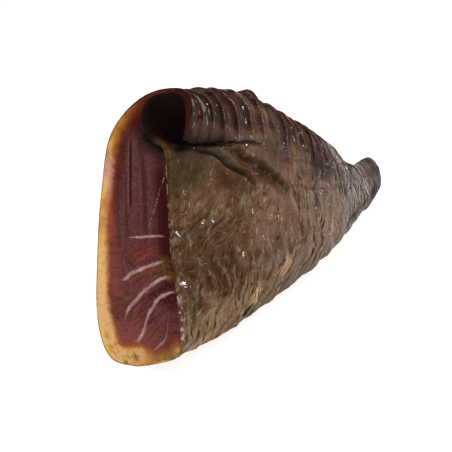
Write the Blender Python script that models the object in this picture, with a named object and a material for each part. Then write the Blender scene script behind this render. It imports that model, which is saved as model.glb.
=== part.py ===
# Smoked tuna belly: one thick wedge of belly wall. The head end is cut square. The thin upper
# edge curls over towards the flesh side and leaves a hollow under it, and the ringed flesh
# tapers to a dried tail stub.
# Metres, +Z up. +X runs from the cut face to the tail, -Y is the flesh side, +Y the skin side.
# The origin is the middle of the piece's box, on the surface that it stands on.

import bmesh
import bpy
import numpy as np

MM = 0.001
NODE = "tuna_belly"

# Driving sizes, in millimetres
LENGTH = 293.0            # cut face to the end of the tail stub
CUT_HEIGHT = 124.2        # the cut face, from its sole to the crown of the curl
CUT_EDGE = 0.5            # the cut's rounded rim
CUT_RIM_DEPTH = 1.6
HOLLOW_CLOSED_AT = 90.0   # how far along the piece the curl has closed on the flesh
SOLE_LIFTS_AT = 258.0     # the tail stub leaves the table here
TIP_HEIGHT = 15.0         # the middle of the stub's round end
TIP_LENGTH = 19.0         # the stretch over which the end rounds off

# Rings: the edges of the muscle leaves, which step up on the side that faces the cut
FIRST_RING = 11.5
LAST_RING = 243.0
RING_PITCH = ((0, 11.4), (105, 11.4), (140, 9.4), (190, 9.0), (243, 6.8))
RING_HEIGHT = 1.5
RING_STEP = 0.13          # the share of a ring that its steep side takes
RING_STATIONS = (0.0, RING_STEP, 0.56)

# The leaning of the rings: upper ends towards the tail
LEAN = ((0, 0.0), (22, 0.06), (85, 0.44), (195, 0.44), (262, 0.0))
LEAN_PIVOT = 0.6          # the share of the height that stays where it is

# Outline of a section, once round: keel, skin side, crown, curl, hollow, flesh side, sole.
# Each row: name, cut face across and up in millimetres (across grows towards the flesh side),
# closed body across and up as shares of its reach and height, ring weight at the cut and on
# the body, and the number of mesh columns up to the next row.
OUTLINE = (
    ("keel", (-8.0, -0.8), (-0.35, 0.0), (0.1, 0.2), 2),
    ("heel", (-16.8, 1.9), (-0.80, 0.06), (0.2, 0.3), 3),
    ("skin_low", (-22.2, 15.5), (-0.98, 0.19), (0.15, 0.3), 3),
    ("skin_mid", (-21.4, 48.0), (-0.98, 0.44), (0.15, 0.3), 3),
    ("skin_high", (-17.9, 78.0), (-0.82, 0.69), (0.2, 0.35), 3),
    ("shoulder", (-12.0, 102.7), (-0.50, 0.89), (0.4, 0.6), 3),
    ("crown", (1.5, 118.0), (-0.22, 0.97), (0.7, 0.9), 3),
    ("top", (14.0, 124.0), (0.05, 1.0), (0.9, 1.0), 3),
    ("fold", (24.5, 124.2), (0.34, 0.955), (1.0, 1.0), 3),
    ("flap_side", (27.2, 117.5), (0.53, 0.87), (0.9, 0.9), 3),
    ("flap_edge", (22.8, 104.2), (0.625, 0.82), (0.2, 0.7), 2),
    ("flap_inside", (24.0, 112.5), (0.632, 0.814), (0.0, 0.6), 2),
    ("roof_near", (22.3, 121.3), (0.639, 0.808), (0.0, 0.5), 2),
    ("roof_far", (10.0, 119.2), (0.646, 0.802), (0.0, 0.4), 2),
    ("hollow_back", (5.8, 111.5), (0.653, 0.796), (0.0, 0.4), 2),
    ("hollow_floor", (9.0, 105.0), (0.66, 0.790), (0.0, 0.4), 2),
    ("lip", (14.7, 100.8), (0.667, 0.784), (0.05, 0.4), 6),
    ("flesh_high", (16.2, 80.0), (0.83, 0.62), (0.1, 0.45), 5),
    ("flesh_mid", (17.2, 55.0), (0.95, 0.46), (0.1, 0.5), 5),
    ("flesh_low", (20.2, 30.0), (1.0, 0.27), (0.25, 0.6), 4),
    ("sole_edge", (20.4, 11.8), (0.76, 0.08), (0.4, 0.6), 3),
    ("sole", (9.0, 4.3), (0.42, 0.0), (0.1, 0.2), 2),
)

# Profiles along the piece: places in millimetres from the cut face
CROWN = ((0, 124.2), (9, 121), (20, 118.8), (52, 113.2), (81, 106.3), (97, 101.2), (123, 88.9),
         (161, 71.8), (183, 60.3), (207, 46.6), (219, 40), (232, 34.6), (249, 29.4), (262, 28.6),
         (276, 28), (293, 24))
HOLLOW = ((0, 1.0), (12, 0.75), (30, 0.40), (56, 0.12), (HOLLOW_CLOSED_AT, 0.0))
FLESH_REACH = ((0, 21), (25, 24.5), (47, 27.5), (80, 27.6), (127, 27.2), (150, 27), (170, 25.3),
               (190, 22), (210, 17.5), (230, 13.5), (250, 11.2), (270, 9.5), (293, 8))
SKIN_REACH = ((0, 21.8), (40, 25), (80, 27.5), (127, 27.5), (150, 26), (170, 23.5), (190, 20),
              (210, 16), (230, 12.5), (250, 10.2), (270, 9.5), (293, 8))
MIDDLE = ((0, 0), (150, 0), (215, 3), (293, 7))    # how far the middle drifts to the skin side

# Creases and folds on the flesh side: their line as (place, height), how far they stand out (a
# crease is negative), half width, and the stretches over which they begin and end, in mm
FOLDS = (
    (((30, 98.5), (46, 93.5), (63, 88), (76, 84)), -1.6, 2.0, (6, 10)),              # curl's edge dies out
    (((7, 101), (22, 97.5), (40, 91), (54, 83), (68, 72)), 2.4, 3.0, (6, 9)),        # fold under the curl
    (((8, 98), (24, 92.5), (41, 85.5), (53, 77.5), (62, 69)), -2.0, 2.0, (6, 9)),    # the pleat under it
    (((46, 86), (60, 77.5), (75, 68.7), (93, 58.5)), -1.9, 3.0, (8, 10)),            # the second pleat
    (((186, 17.3), (210, 12.5), (228, 10.4), (239, 10.2)), -3.0, 1.8, (7, 7)),       # split in the tail
)
CRAG = {"place": 78.5, "rise": 2.8, "behind": 10.0, "ahead": 2.5, "across": 6.0}   # on the crown

# Slow lumps of the dried surface: wave length along, wave length round, depth, phase
LUMPS = ((31.0, 19.0, 0.55, 0.4), (17.0, 27.0, 0.40, 2.1), (47.0, 12.0, 0.35, 4.4))

COLOUR = (0.115, 0.055, 0.032)
ROUGHNESS = 0.38


def smooth(start, end, value):
    share = np.clip((value - start) / (end - start), 0.0, 1.0)
    return share * share * (3.0 - 2.0 * share)


def along(knots, place):
    """A smooth curve through (place, value) knots, read at place; level past both ends."""
    at, value = np.array(knots, float).T
    gap = np.diff(at)
    slope = np.diff(value) / gap
    tangent = np.zeros_like(value)
    tangent[1:-1] = (slope[:-1] * gap[1:] + slope[1:] * gap[:-1]) / (gap[1:] + gap[:-1])
    place = np.clip(place, at[0], at[-1])
    i = np.clip(np.searchsorted(at, place) - 1, 0, len(gap) - 1)
    t = (place - at[i]) / gap[i]
    return hermite(value[i], value[i + 1], tangent[i] * gap[i], tangent[i + 1] * gap[i], t)


def hermite(start, end, leave, arrive, t):
    return (start * (2 * t**3 - 3 * t**2 + 1) + end * (3 * t**2 - 2 * t**3)
            + leave * (t**3 - 2 * t**2 + t) + arrive * (t**3 - t**2))


def round_spline(points, counts):
    """Closed spline through each station's landmarks, sampled counts[i] times from landmark i."""
    ahead = np.roll(points, -1, axis=1)
    gap = np.sqrt(np.linalg.norm(ahead - points, axis=2, keepdims=True)) + 1e-6
    before = np.roll(gap, 1, axis=1)
    slope = (ahead - points) / gap
    tangent = (np.roll(slope, 1, axis=1) * gap + slope * before) / (gap + before)
    samples = []
    for i, count in enumerate(counts):
        j = (i + 1) % len(counts)
        for k in range(count):
            samples.append(hermite(points[:, i], points[:, j], tangent[:, i] * gap[:, i],
                                   tangent[:, j] * gap[:, i], k / count))
    return np.stack(samples, axis=1)


def ring_places():
    places = [FIRST_RING]
    while places[-1] < LAST_RING:
        places.append(places[-1] + float(along(RING_PITCH, places[-1])))
    return np.array(places)


def station_places(rings):
    """Mesh stations: three in each ring, more at the cut's rim and round the tail's end."""
    inside = [start + share * step for start, step in zip(rings[:-1], np.diff(rings))
              for share in RING_STATIONS]
    rim = [0.0, CUT_RIM_DEPTH, 0.5 * (CUT_RIM_DEPTH + FIRST_RING)]
    tip = LENGTH - TIP_LENGTH * (1.0 - np.sin(np.linspace(0.0, 0.47, 8) * np.pi))
    between = np.arange(rings[-1], tip[0] - 2.0, 4.5)
    return np.concatenate([rim, inside, between, tip])


def ring_profile(place, rings):
    """Height of the rings along the piece, 0 to 1: a short steep rise, then a slow fall."""
    count = np.interp(place, rings, np.arange(len(rings)), left=-1.0)
    share = np.where(count < 0, 1.0, count % 1.0)
    rise = share / RING_STEP
    fall = (1.0 - share) / (1.0 - RING_STEP)
    profile = np.where(share < RING_STEP, rise, fall**1.3)
    pitch = along(RING_PITCH, place)
    return profile * (pitch / RING_PITCH[0][1]) * smooth(LAST_RING + 8.0, LAST_RING - 8.0, place)


def landmarks(place):
    """Each station's landmarks, across and up, between the cut's outline and the body's."""
    hollow = along(HOLLOW, place)[:, None]
    at_cut = np.array([row[1] for row in OUTLINE])
    on_body = np.array([row[2] for row in OUTLINE])
    lean = along(LEAN, place)
    height = along(CROWN, place)
    for _ in range(6):     # the crown of a leaning station lies further towards the tail
        height = along(CROWN, place + lean * (1.0 - LEAN_PIVOT) * height)
    flesh_reach = along(FLESH_REACH, place)[:, None]
    skin_reach = along(SKIN_REACH, place)[:, None]
    reach = np.where(on_body[:, 0] > 0, flesh_reach, skin_reach)
    across = hollow * at_cut[:, 0] + (1 - hollow) * on_body[:, 0] * reach
    up = height[:, None] * (hollow * at_cut[:, 1] / CUT_HEIGHT + (1 - hollow) * on_body[:, 1])
    return np.stack([across, up], axis=2), height, lean


def end_rounding(place, points, height):
    """Draws the last stations in to the stub's round end and lifts them off the table."""
    share = np.clip((place - (LENGTH - TIP_LENGTH)) / TIP_LENGTH, 0.0, 1.0)
    size = np.sqrt(np.clip(1.0 - share**2, 0.0, 1.0))[:, None]
    points[..., 0] *= size
    points[..., 1] = TIP_HEIGHT + (points[..., 1] - TIP_HEIGHT) * size
    lift = 2.0 * smooth(SOLE_LIFTS_AT, LENGTH - 8.0, place)[:, None]
    low = 1.0 - np.clip(points[..., 1] / height[:, None], 0.0, 1.0)
    points[..., 1] += lift * low


def outward(points):
    """Unit normals of the closed outlines, within each section's own plane."""
    run = np.roll(points, -1, axis=1) - np.roll(points, 1, axis=1)
    normal = np.stack([-run[..., 1], run[..., 0]], axis=2)
    return normal / (np.linalg.norm(normal, axis=2, keepdims=True) + 1e-9)


def relief(place, points, weight, flesh, rings):
    """How far the surface stands out of the smooth loft, in millimetres."""
    across, up = points[..., 0], points[..., 1]
    s = place[:, None]
    out = RING_HEIGHT * ring_profile(place, rings)[:, None] * weight
    for line, stands_out, half_width, (fade_in, fade_out) in FOLDS:
        from_line = (up - along(line, s)) / half_width
        reach = smooth(line[0][0] - fade_in, line[0][0] + fade_in, s)
        reach = reach * smooth(line[-1][0] + fade_out, line[-1][0] - fade_out, s)
        out = out + stands_out * reach * flesh * np.exp(-from_line**2)
    from_crag = s - CRAG["place"]
    slope = np.where(from_crag < 0, from_crag / CRAG["behind"], from_crag / CRAG["ahead"])
    on_crown = np.exp(-(across / CRAG["across"])**2) * smooth(60.0, 90.0, up)
    out = out + CRAG["rise"] * np.clip(1.0 - np.abs(slope), 0.0, 1.0)**1.5 * on_crown
    turn = np.cumsum(np.linalg.norm(np.diff(points, axis=1, prepend=points[:, :1]), axis=2), axis=1)
    for wave_along, wave_round, depth, phase in LUMPS:
        wave = np.sin(2 * np.pi * s / wave_along + phase) * np.sin(2 * np.pi * turn / wave_round + phase)
        out = out + depth * wave * flesh
    return out


def skin_points(place, rings):
    """Positions of the loft's grid: stations along, columns round, in millimetres."""
    counts = [row[4] for row in OUTLINE]
    marks, height, lean = landmarks(place)
    points = round_spline(marks, counts)

    weights = np.array([row[3] for row in OUTLINE])
    hollow = along(HOLLOW, place)[:, None]
    weight_marks = hollow * weights[:, 0] + (1 - hollow) * weights[:, 1]
    weight = round_spline(np.repeat(weight_marks[..., None], 2, axis=2), counts)[..., 0]
    names = [row[0] for row in OUTLINE]
    side = np.array([1.0 if names.index("lip") <= i <= names.index("sole_edge") else 0.0
                     for i in range(len(names))])
    near_curl = np.isin(names, ("flap_edge", "flap_inside", "roof_near", "roof_far",
                                "hollow_back", "hollow_floor"))
    flesh_marks = np.maximum(side, near_curl * (1 - smooth(0.0, 0.45, hollow)))
    flesh = round_spline(np.repeat(flesh_marks[..., None], 2, axis=2), counts)[..., 0]

    normal = outward(points)
    in_from_cut = smooth(0.0, CUT_RIM_DEPTH + 4.0, place)[:, None]
    out = relief(place, points, weight, np.clip(flesh, 0, 1), rings) * in_from_cut
    out = out - CUT_EDGE * (1.0 - np.clip(place / CUT_RIM_DEPTH, 0, 1)[:, None])
    tip_fade = smooth(LENGTH, LENGTH - TIP_LENGTH, place)[:, None]
    points = points + normal * (out * tip_fade)[..., None]
    end_rounding(place, points, height)
    up = np.maximum(points[..., 1], 0.0)
    x = place[:, None] + lean[:, None] * (up - LEAN_PIVOT * height[:, None])
    y = along(MIDDLE, place)[:, None] - points[..., 0]
    return np.stack([x, y, up], axis=2)


def belly_mesh(name):
    rings = ring_places()
    grid = skin_points(station_places(rings), rings)
    low, high = grid.min(axis=(0, 1)), grid.max(axis=(0, 1))
    grid[..., :2] -= 0.5 * (low + high)[:2]
    mesh = bmesh.new()
    rows = [[mesh.verts.new(point * MM) for point in row] for row in grid]
    columns = len(rows[0])
    for near, far in zip(rows[:-1], rows[1:]):
        for i in range(columns):
            j = (i + 1) % columns
            mesh.faces.new((near[i], near[j], far[j], far[i]))
    mesh.faces.new(reversed(rows[0]))
    pole = mesh.verts.new(grid[-1].mean(axis=0) * MM)
    for i in range(columns):
        mesh.faces.new((rows[-1][i], rows[-1][(i + 1) % columns], pole))
    bmesh.ops.recalc_face_normals(mesh, faces=mesh.faces)
    data = bpy.data.meshes.new(name)
    mesh.to_mesh(data)
    mesh.free()
    data.shade_smooth()
    data.set_sharp_from_angle(angle=np.radians(50))
    return data


def smoked_flesh():
    material = bpy.data.materials.new("smoked_flesh")
    material.use_nodes = True
    shader = material.node_tree.nodes["Principled BSDF"]
    shader.inputs["Base Color"].default_value = (*COLOUR, 1.0)
    shader.inputs["Roughness"].default_value = ROUGHNESS
    shader.inputs["Metallic"].default_value = 0.0
    return material


def main():
    for thing in list(bpy.data.objects):
        bpy.data.objects.remove(thing)
    collection = bpy.data.collections.new("smoked_tuna_belly")
    bpy.context.scene.collection.children.link(collection)
    belly = bpy.data.objects.new(NODE, belly_mesh(NODE))
    belly.data.materials.append(smoked_flesh())
    collection.objects.link(belly)


main()
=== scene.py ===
import math

import bpy
import numpy as np
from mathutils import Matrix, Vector
from mathutils.geometry import delaunay_2d_cdt


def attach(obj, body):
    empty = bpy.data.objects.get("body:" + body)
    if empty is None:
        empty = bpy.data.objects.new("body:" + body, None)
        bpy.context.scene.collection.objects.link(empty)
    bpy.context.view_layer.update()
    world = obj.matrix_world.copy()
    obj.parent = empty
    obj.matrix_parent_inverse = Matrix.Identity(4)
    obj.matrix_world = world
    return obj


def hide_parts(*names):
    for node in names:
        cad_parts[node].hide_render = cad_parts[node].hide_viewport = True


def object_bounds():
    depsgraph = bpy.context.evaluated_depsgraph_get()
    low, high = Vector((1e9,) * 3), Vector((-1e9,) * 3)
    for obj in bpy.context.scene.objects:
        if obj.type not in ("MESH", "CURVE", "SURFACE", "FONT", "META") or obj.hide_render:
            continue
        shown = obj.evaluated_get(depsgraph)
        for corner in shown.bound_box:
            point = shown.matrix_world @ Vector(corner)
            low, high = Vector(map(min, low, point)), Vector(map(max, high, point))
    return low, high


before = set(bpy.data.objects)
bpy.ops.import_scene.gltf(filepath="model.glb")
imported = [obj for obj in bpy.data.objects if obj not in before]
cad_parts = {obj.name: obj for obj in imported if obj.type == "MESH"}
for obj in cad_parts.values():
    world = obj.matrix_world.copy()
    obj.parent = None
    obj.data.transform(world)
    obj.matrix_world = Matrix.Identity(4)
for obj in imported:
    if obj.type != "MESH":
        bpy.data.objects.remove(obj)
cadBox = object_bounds()
print("frame loaded")

mm = 0.001

# The wedge as a whole. Profiles are (place from the cut, value); the tail is at the far end.
bellyForm = {
    "length": 293.0,
    "cutHeight": 124.2,
    "soleLiftsAt": 258.0,
    "tipHeight": 15.0,
    "tipLength": 19.0,
    "leanPivot": 0.6,        # share of the height that stays put where a section leans
    "middleToBox": 0.89,     # from the loft's middle line to the middle of the piece's box
    "lean": ((0, 0.0), (22, 0.06), (85, 0.44), (195, 0.44), (262, 0.0)),
    "crown": ((0, 124.2), (9, 121), (20, 118.8), (52, 113.2), (81, 106.3), (97, 101.2), (123, 88.9),
              (161, 71.8), (183, 60.3), (207, 46.6), (219, 40), (232, 34.6), (249, 29.4), (262, 28.6),
              (276, 28), (293, 24)),
    "hollow": ((0, 1.0), (12, 0.75), (30, 0.40), (56, 0.12), (90, 0.0)),
    "fleshReach": ((0, 21), (25, 24.5), (47, 27.5), (80, 27.6), (127, 27.2), (150, 27), (170, 25.3),
                   (190, 22), (210, 17.5), (230, 13.5), (250, 11.2), (270, 9.5), (293, 8)),
    "skinReach": ((0, 21.8), (40, 25), (80, 27.5), (127, 27.5), (150, 26), (170, 23.5), (190, 20),
                  (210, 16), (230, 12.5), (250, 10.2), (270, 9.5), (293, 8)),
    "middle": ((0, 0), (150, 0), (215, 3), (293, 7)),
    "flapKeeps": {"flapInside": 2.4, "roofNear": 1.8, "roofFar": 1.2},    # thickness as the curl closes
    # share of the height where the dark crown starts
    "bandFrom": ((0, 0.9), (73, 0.89), (110, 0.78), (165, 0.65), (220, 0.56)),
}

# Once round a section: name, place on the cut (across, up), share of the closed body's reach
# and height, ring strength at the cut and on the body, rim rounding at the cut, mesh columns
outline = (
    ("keel", (-8.0, -0.8), (-0.35, 0.0), (0.1, 0.1), 1.2, 4),
    ("heel", (-16.8, 1.9), (-0.80, 0.06), (0.2, 0.3), 1.4, 6),
    ("skinLow", (-22.2, 15.5), (-0.98, 0.19), (0.15, 0.3), 1.4, 13),
    ("skinMid", (-21.4, 48.0), (-0.98, 0.44), (0.15, 0.3), 1.2, 13),
    ("skinHigh", (-17.9, 78.0), (-0.82, 0.69), (0.2, 0.35), 1.2, 12),
    ("shoulder", (-12.0, 102.7), (-0.50, 0.89), (0.4, 0.6), 1.0, 12),
    ("crown", (1.5, 118.0), (-0.22, 0.97), (0.7, 0.9), 0.7, 12),
    ("top", (14.0, 124.0), (0.05, 1.0), (0.9, 1.0), 0.6, 12),
    ("fold", (24.5, 124.2), (0.34, 0.955), (1.0, 1.0), 0.6, 11),
    ("flapSide", (27.2, 117.5), (0.53, 0.87), (0.9, 0.9), 0.45, 18),
    ("flapEdge", (22.8, 104.2), (0.625, 0.82), (0.2, 0.7), 0.02, 6),
    ("flapInside", (24.0, 112.5), (0.632, 0.814), (0.0, 0.6), 0.25, 6),
    ("roofNear", (22.3, 121.3), (0.639, 0.808), (0.0, 0.5), 0.8, 7),
    ("roofFar", (10.0, 119.2), (0.646, 0.802), (0.0, 0.4), 1.6, 5),
    ("hollowBack", (5.8, 111.5), (0.653, 0.796), (0.0, 0.4), 2.2, 5),
    ("hollowFloor", (9.0, 105.0), (0.66, 0.790), (0.0, 0.4), 2.4, 7),
    ("lip", (14.7, 100.8), (0.667, 0.784), (0.05, 0.4), 1.4, 30),
    ("fleshHigh", (16.2, 80.0), (0.83, 0.62), (0.1, 0.45), 0.5, 30),
    ("fleshMid", (17.2, 55.0), (0.95, 0.46), (0.1, 0.5), 0.5, 23),
    ("fleshLow", (20.2, 30.0), (1.0, 0.27), (0.25, 0.38), 0.6, 14),
    ("soleEdge", (20.4, 11.8), (0.76, 0.08), (0.3, 0.12), 1.0, 5),
    ("sole", (9.0, 4.3), (0.42, 0.0), (0.1, 0.1), 1.2, 3),
)
outlineNames = [row[0] for row in outline]
outlineColumns = [row[5] for row in outline]

# The muscle leaves' edges: each steps up on the side that faces the cut
ringForm = {
    "first": 11.5,
    "last": 243.0,
    "pitch": ((0, 11.4), (105, 11.4), (140, 9.4), (190, 9.0), (243, 6.8)),
    "height": 1.25,
    "step": 0.12,        # share of a ring that its steep side takes
    "swell": 0.40,       # of the height: the leaf itself
    "lip": 0.70,         # the crisp bead along the top of the step
    "groove": 0.35,      # the nick in front of the step
    "halfRing": 0.45,    # the weak bead half way between two steps
    "wander": 1.5,
    "uneven": 0.35,
    "stations": (0.0, 0.03, 0.06, 0.09, 0.12, 0.16, 0.22, 0.32, 0.45, 0.60, 0.75, 0.88, 0.96),
}

# Folds and creases as lines on the flesh side: line (place, height), how far it stands out
# (a crease is negative), half width, how long its start and end take to fade, and how much of
# the dark and of the brown tone lies along it
# The dark tone along the creases and the tail's slit, and the brown tone in the valley below the first fold,
# are painted shade.
folds = (
    (((33, 92.1), (42, 86.6), (51, 80.3), (57, 75.6), (62, 70.5)), 1.7, 2.6, (6, 9), 0, 0),
    (((8, 98), (21, 95.8), (25, 93.8), (33, 89.9), (40, 84.3), (52, 76.8), (60, 71.0)),
     -2.0, 1.0, (6, 12), 1.0, 0),
    (((41, 90.3), (50, 84.7), (57, 79.9), (70, 72), (80, 66.1), (90, 60.8)), -1.7, 3.0, (6, 8), 0, 1.0),
    (((47, 90.2), (55, 85.4), (67, 78.9), (75, 74.1), (82, 69.8), (95, 62)), 1.1, 1.5, (6, 8), 0, 0),
    (((47, 87.7), (55, 82.9), (67, 76.4), (75, 71.6), (82, 67.3), (95, 59.5)), -0.5, 0.8, (6, 8), 0.8, 0),
    (((186, 17.3), (210, 12.5), (228, 10.4), (239, 10.2)), -1.8, 2.2, (9, 12), 1.0, 0),
    (((30, 99.2), (36, 98.2), (44, 96.8), (53, 95.2)), -0.5, 0.5, (4, 6), 0.6, 0),
    (((84, 73), (113, 66), (140, 57), (173, 48)), -0.5, 0.8, (5, 12), 0.3, 0),
    (((96, 59), (122, 52), (150, 44), (178, 38), (200, 31)), -0.6, 0.8, (5, 12), 0.4, 0),
)
crag = {"place": 78.5, "rise": 3.4, "behind": 9.0, "ahead": 2.2, "across": 7.0}

# Relief of the smoked flesh side
fleshRelief = {
    "lumps": ((31.0, 19.0, 0.55, 0.4), (17.0, 27.0, 0.40, 2.1), (47.0, 12.0, 0.35, 4.4)),
    "streakLength": 13.0, "streakWidth": 2.6, "streakDepth": 0.45,
    "leafPitch": 8.0, "leafDepth": 1.15, "leafBend": 4.2,
    "grain": 1.9, "grainDepth": 0.14,
}


def smoothStep(start, end, value):
    share = np.clip((value - start) / (end - start), 0.0, 1.0)
    return share * share * (3.0 - 2.0 * share)


def hermite(start, end, leave, arrive, t):
    return (start * (2 * t**3 - 3 * t**2 + 1) + end * (3 * t**2 - 2 * t**3)
            + leave * (t**3 - 2 * t**2 + t) + arrive * (t**3 - t**2))


def knotCurve(knots, place):    # smooth through (place, value) knots, level past both ends
    at, value = np.array(knots, float).T
    gap = np.diff(at)
    slope = np.diff(value) / gap
    tangent = np.zeros_like(value)
    tangent[1:-1] = (slope[:-1] * gap[1:] + slope[1:] * gap[:-1]) / (gap[1:] + gap[:-1])
    place = np.clip(place, at[0], at[-1])
    i = np.clip(np.searchsorted(at, place) - 1, 0, len(gap) - 1)
    t = (place - at[i]) / gap[i]
    return hermite(value[i], value[i + 1], tangent[i] * gap[i], tangent[i + 1] * gap[i], t)


def closedSpline(points, counts):    # counts[i] samples from landmark i on, at every station
    ahead = np.roll(points, -1, axis=1)
    gap = np.sqrt(np.linalg.norm(ahead - points, axis=2, keepdims=True)) + 1e-6
    before = np.roll(gap, 1, axis=1)
    slope = (ahead - points) / gap
    tangent = (np.roll(slope, 1, axis=1) * gap + slope * before) / (gap + before)
    samples = []
    for i, count in enumerate(counts):
        j = (i + 1) % len(counts)
        for k in range(count):
            samples.append(hermite(points[:, i], points[:, j], tangent[:, i] * gap[:, i],
                                   tangent[:, j] * gap[:, i], k / count))
    return np.stack(samples, axis=1)


def alongOutline(values):    # one value a landmark and station, eased between landmarks
    return closedSpline(np.repeat(values[..., None], 2, axis=2), outlineColumns)[..., 0]


def smoothNoise(u, v, seed):    # -1 to 1, one bump a unit
    table = np.random.default_rng(seed).uniform(-1, 1, (64, 64))
    row, column = np.floor(u).astype(int), np.floor(v).astype(int)
    down, right = smoothStep(0, 1, u - row), smoothStep(0, 1, v - column)

    def edgeValue(column):
        return table[row % 64, column % 64] * (1 - down) + table[(row + 1) % 64, column % 64] * down
    return edgeValue(column) * (1 - right) + edgeValue(column + 1) * right


def ringPlaces():
    places = [ringForm["first"]]
    while places[-1] < ringForm["last"]:
        places.append(places[-1] + float(knotCurve(ringForm["pitch"], places[-1])))
    return np.array(places)


def stationPlaces(rings):
    rim = [0.0, 0.12, 0.35, 0.7, 1.2, 1.9, 2.8, 4.0, 5.5, 7.4, 9.4]
    inside = [start + share * step for start, step in zip(rings[:-1], np.diff(rings))
              for share in ringForm["stations"]]
    tip = bellyForm["length"] - bellyForm["tipLength"] * (1 - np.sin(np.linspace(0, 0.485, 16) * np.pi))
    between = np.arange(rings[-1], tip[0] - 1.0, 1.8)
    return np.concatenate([rim, inside, between, tip])


def ringCount(place, rings):    # 0 at the first ring, 1 at the second and so on
    return np.interp(place, rings, np.arange(len(rings)), left=-1.0)


def landmarks(place):    # each station's landmarks, between the cut's outline and the body's
    hollow = knotCurve(bellyForm["hollow"], place)[:, None]
    atCut = np.array([row[1] for row in outline])
    onBody = np.array([row[2] for row in outline])
    lean = knotCurve(bellyForm["lean"], place)
    height = knotCurve(bellyForm["crown"], place)
    for _ in range(6):    # a leaning station's crown lies further towards the tail
        height = knotCurve(bellyForm["crown"], place + lean * (1 - bellyForm["leanPivot"]) * height)
    fleshReach = knotCurve(bellyForm["fleshReach"], place)[:, None]
    skinReach = knotCurve(bellyForm["skinReach"], place)[:, None]
    reach = np.where(onBody[:, 0] > 0, fleshReach, skinReach)
    across = hollow * atCut[:, 0] + (1 - hollow) * onBody[:, 0] * reach
    inwards = np.array([bellyForm["flapKeeps"].get(name, 0.0) for name in outlineNames])
    across = across - 4.0 * hollow * (1 - hollow) * inwards
    up = height[:, None] * (hollow * atCut[:, 1] / bellyForm["cutHeight"] + (1 - hollow) * onBody[:, 1])
    return np.stack([across, up], axis=2), height, lean


def roundTheTip(place, points, height):
    share = np.clip((place - (bellyForm["length"] - bellyForm["tipLength"])) / bellyForm["tipLength"], 0, 1)
    size = np.sqrt(np.clip(1.0 - share**2, 0.0, 1.0))[:, None]
    points[..., 0] *= size
    points[..., 1] = bellyForm["tipHeight"] + (points[..., 1] - bellyForm["tipHeight"]) * size
    lift = 2.0 * smoothStep(bellyForm["soleLiftsAt"], bellyForm["length"] - 8.0, place)[:, None]
    low = 1.0 - np.clip(points[..., 1] / height[:, None], 0.0, 1.0)
    points[..., 1] += lift * low


def outwardInSection(points):
    run = np.roll(points, -1, axis=1) - np.roll(points, 1, axis=1)
    normal = np.stack([-run[..., 1], run[..., 0]], axis=2)
    return normal / (np.linalg.norm(normal, axis=2, keepdims=True) + 1e-9)


def ringRelief(count, turn, place):
    share = np.where(count < 0, 1.0, count % 1.0)
    number = np.floor(count)
    step = ringForm["step"]
    rise = smoothStep(0.0, step, share)
    fall = ((1.0 - share) / (1.0 - step))**1.25
    profile = ringForm["swell"] * np.where(share < step, rise, fall)
    profile = profile + ringForm["lip"] * np.exp(-((share - step - 0.02) / 0.045)**2)
    half = (share + 0.5 + 0.06 * smoothNoise(number * 3.1, turn / 11.0, 14)) % 1.0
    weak = smoothStep(-0.2, 0.5, smoothNoise(number * 5.7, turn / 13.0, 13))
    profile = profile + ringForm["halfRing"] * weak * np.exp(-((half - step - 0.02) / 0.05)**2)
    profile = profile - ringForm["groove"] * np.exp(-((share - 0.985) / 0.035)**2)
    strength = 1.0 + ringForm["uneven"] * smoothNoise(number * 7.3, turn / 17.0, 11)
    size = knotCurve(ringForm["pitch"], place) / ringForm["pitch"][0][1]
    fade = smoothStep(ringForm["last"] + 8.0, ringForm["last"] - 8.0, place)
    return ringForm["height"] * profile * strength * size * fade


def foldRelief(place, up, flesh):
    out, dark, brown = np.zeros_like(up), np.zeros_like(up), np.zeros_like(up)
    for line, standsOut, halfWidth, (fadeIn, fadeOut), creaseShade, valleyShade in folds:
        fromLine = (up - knotCurve(line, place)) / halfWidth
        reach = smoothStep(line[0][0] - fadeIn, line[0][0] + fadeIn, place)
        reach = reach * smoothStep(line[-1][0] + fadeOut, line[-1][0] - fadeOut, place)
        near = reach * flesh * np.exp(-fromLine**2)
        out = out + standsOut * near
        dark = np.maximum(dark, creaseShade * near)
        brown = np.maximum(brown, valleyShade * reach * flesh * np.exp(-(0.75 * fromLine)**4))
    return out, dark, brown


def cragRelief(place, across, up):
    away = place - crag["place"]
    slope = np.where(away < 0, away / crag["behind"], away / crag["ahead"])
    onCrown = np.exp(-(across / crag["across"])**2) * smoothStep(60.0, 90.0, up)
    return crag["rise"] * np.clip(1.0 - np.abs(slope), 0.0, 1.0)**1.5 * onCrown


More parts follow.
